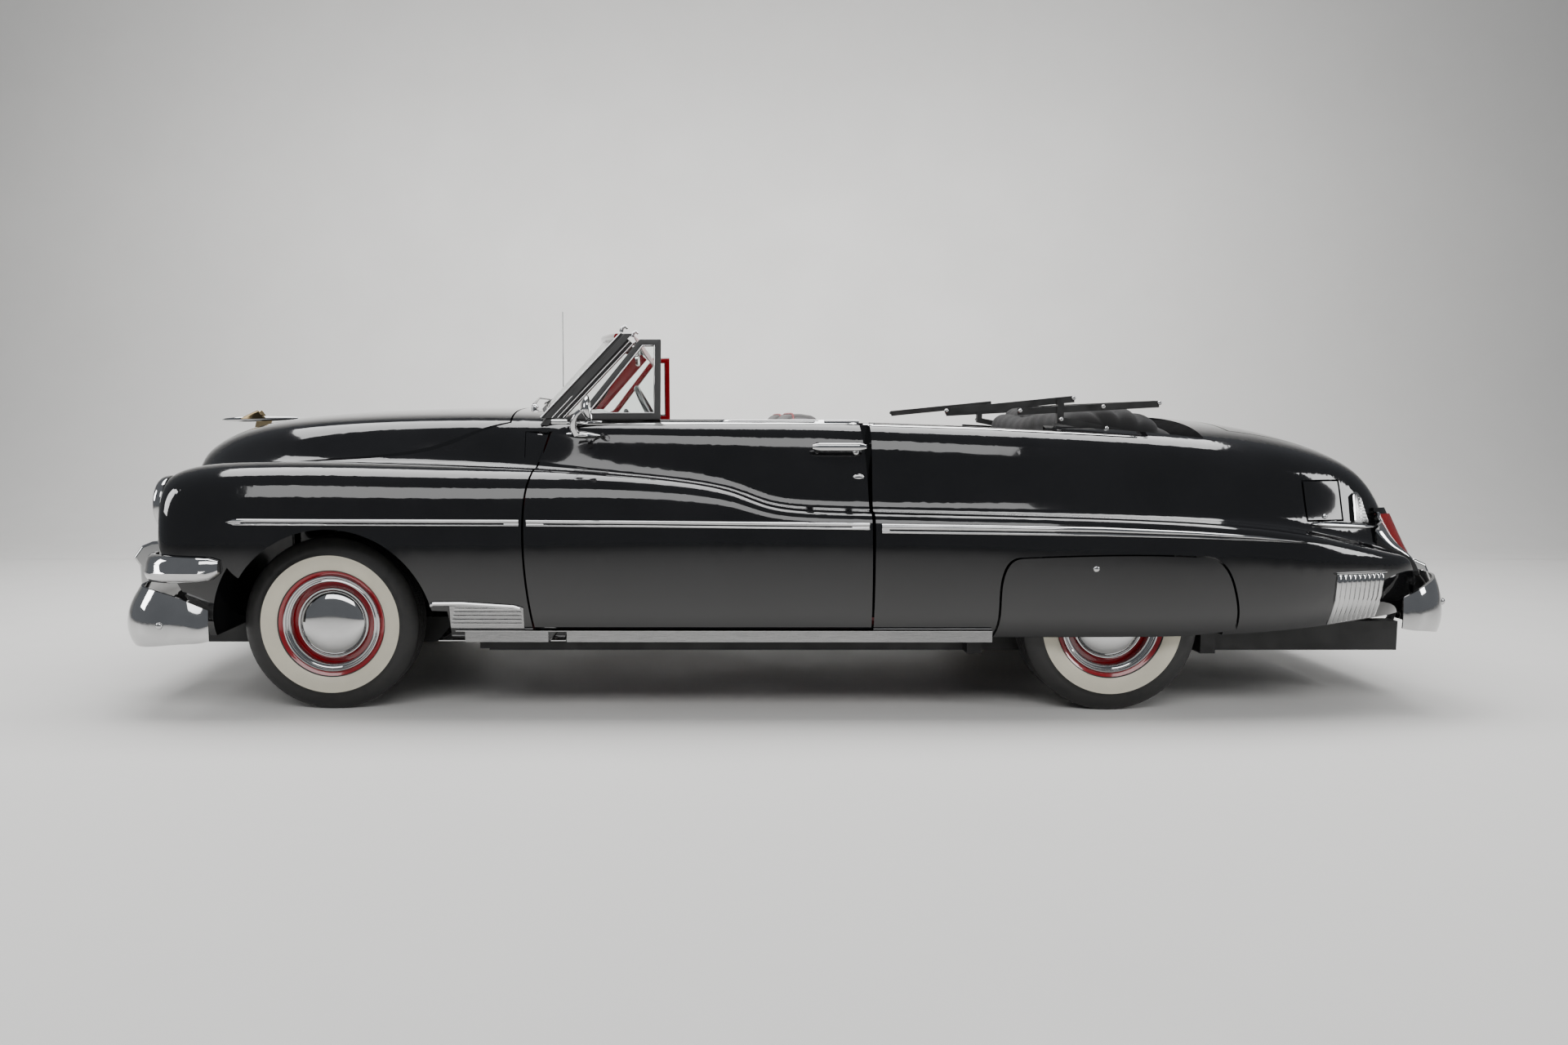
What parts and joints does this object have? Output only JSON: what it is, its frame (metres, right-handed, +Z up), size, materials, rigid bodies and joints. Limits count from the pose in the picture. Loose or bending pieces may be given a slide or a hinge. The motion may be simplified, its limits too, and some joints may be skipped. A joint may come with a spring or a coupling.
{
  "type": "1950s convertible car",
  "caption": "Full-size two-door 1950s convertible car with folded top, whitewall tyres, rear fender skirts and bright side trim.",
  "frame": {"origin": "on the ground under the middle of the overall length and width", "axes": "-X towards the nose, +X towards the tail, +Y to the car's right side, +Z up"},
  "size_m": [5.2463, 1.9506, 1.659],
  "materials": {
    "body_paint": "gloss black enamel",
    "cast_iron": "grey cast iron",
    "chassis_black": "satin black frame paint",
    "chrome": "polished chrome",
    "clear_glass": "clear glass",
    "dash_paint": "dark red enamel",
    "leather": "red and black leather",
    "red_glass": "red lamp glass",
    "satin_trim": "brushed bright trim with polished edges",
    "steel": "bare steel",
    "top_fabric": "black woven top cloth",
    "wheel_plastic": "black moulded plastic",
    "wheel_red": "red enamel with bright cap and ring",
    "whitewall_tyre": "black tread, ivory side band"
  },
  "bodies": {
    "root": {"antenna": "chrome", "bumper_brackets": "chassis_black", "bumper_front": "chrome", "bumper_rear": "chrome", "chassis_frame": "chassis_black", "cowl": "body_paint", "dashboard": "dash_paint", "engine_block": "cast_iron", "exhaust_system": "steel", "fender_skirts": "body_paint", "floor_pan": "body_paint", "folded_top": "top_fabric", "front_fender_left": "body_paint", "front_fender_right": "body_paint", "front_panel": "body_paint", "front_seat": "leather", "front_suspension": "chassis_black", "fuel_tank": "chassis_black", "grille": "chrome", "grille_surround": "chrome", "headlamp_lenses": "clear_glass", "headlamp_rims": "chrome", "quarter_panel_left": "body_paint", "quarter_panel_right": "body_paint", "radiator": "chassis_black", "rear_axle": "chassis_black", "rear_deck": "body_paint", "rear_seat": "leather", "rocker_panels": "body_paint", "seat_risers": "chassis_black", "side_trim": "satin_trim", "steering_column": "wheel_plastic", "tail_lamps": "red_glass", "tail_panel": "body_paint", "top_frame": "chrome", "windshield_frame": "chrome", "windshield_glass": "clear_glass"},
    "wheel_front_left": {"tyre_front_left": "whitewall_tyre", "wheel_front_left": "wheel_red"},
    "wheel_front_right": {"tyre_front_right": "whitewall_tyre", "wheel_front_right": "wheel_red"},
    "wheel_rear_left": {"tyre_rear_left": "whitewall_tyre", "wheel_rear_left": "wheel_red"},
    "wheel_rear_right": {"tyre_rear_right": "whitewall_tyre", "wheel_rear_right": "wheel_red"},
    "knuckle_left": {"knuckle_left": "steel"},
    "knuckle_right": {"knuckle_right": "steel"},
    "door_left": {"door_left": "body_paint", "door_trim_left": "chrome", "vent_glass_left": "clear_glass", "door_mirror": "chrome"},
    "door_right": {"door_right": "body_paint", "door_trim_right": "chrome", "vent_glass_right": "clear_glass"},
    "hood": {"hood": "body_paint", "hood_ornament": "chrome"},
    "trunk_lid": {"trunk_lid": "body_paint"},
    "fuel_door": {"fuel_door": "body_paint"},
    "steering_wheel": {"steering_wheel": "wheel_plastic"}
  },
  "joints": [
    {"name": "steering_wheel_turn", "type": "hinge", "parent": "root", "child": "steering_wheel", "pos_m": [-0.489, -0.35, 1.054], "axis": [0.8805, 0, 0.4741], "range_deg": [-810, 810]},
    {"name": "steer_left", "type": "hinge", "parent": "root", "child": "knuckle_left", "pos_m": [-1.7505, -0.638, 0.335], "axis": [0, 0, 1], "range_deg": [-30, 30]},
    {"name": "steer_right", "type": "hinge", "parent": "root", "child": "knuckle_right", "pos_m": [-1.7505, 0.638, 0.335], "axis": [0, 0, 1], "range_deg": [-30, 30]},
    {"name": "spin_front_left", "type": "hinge", "parent": "knuckle_left", "child": "wheel_front_left", "pos_m": [-1.7505, -0.743, 0.335], "axis": [0, 1, 0], "continuous": true},
    {"name": "spin_front_right", "type": "hinge", "parent": "knuckle_right", "child": "wheel_front_right", "pos_m": [-1.7505, 0.743, 0.335], "axis": [0, 1, 0], "continuous": true},
    {"name": "spin_rear_left", "type": "hinge", "parent": "root", "child": "wheel_rear_left", "pos_m": [1.2465, -0.762, 0.335], "axis": [0, 1, 0], "continuous": true},
    {"name": "spin_rear_right", "type": "hinge", "parent": "root", "child": "wheel_rear_right", "pos_m": [1.2465, 0.762, 0.335], "axis": [0, 1, 0], "continuous": true},
    {"name": "door_left_swing", "type": "hinge", "parent": "root", "child": "door_left", "pos_m": [-0.987, -0.985, 0.7], "axis": [0, 0, -1], "range_deg": [0, 65]},
    {"name": "door_right_swing", "type": "hinge", "parent": "root", "child": "door_right", "pos_m": [-0.987, 0.985, 0.7], "axis": [0, 0, 1], "range_deg": [0, 65]},
    {"name": "hood_lift", "type": "hinge", "parent": "root", "child": "hood", "pos_m": [-1.074, 0, 1.19], "axis": [0, 1, 0], "range_deg": [0, 50]},
    {"name": "trunk_lift", "type": "hinge", "parent": "root", "child": "trunk_lid", "pos_m": [1.794, 0, 1.16], "axis": [0, -1, 0], "range_deg": [0, 70]},
    {"name": "fuel_door_swing", "type": "hinge", "parent": "root", "child": "fuel_door", "pos_m": [2.0141, -0.7608, 0.8064], "axis": [0.0542, -0.2444, -0.9682], "range_deg": [0, 80]}
  ],
  "couplings": [
    {"joint": "steer_left", "follows": "steering_wheel_turn", "ratio": 0.037037},
    {"joint": "steer_right", "follows": "steering_wheel_turn", "ratio": 0.037037}
  ]
}
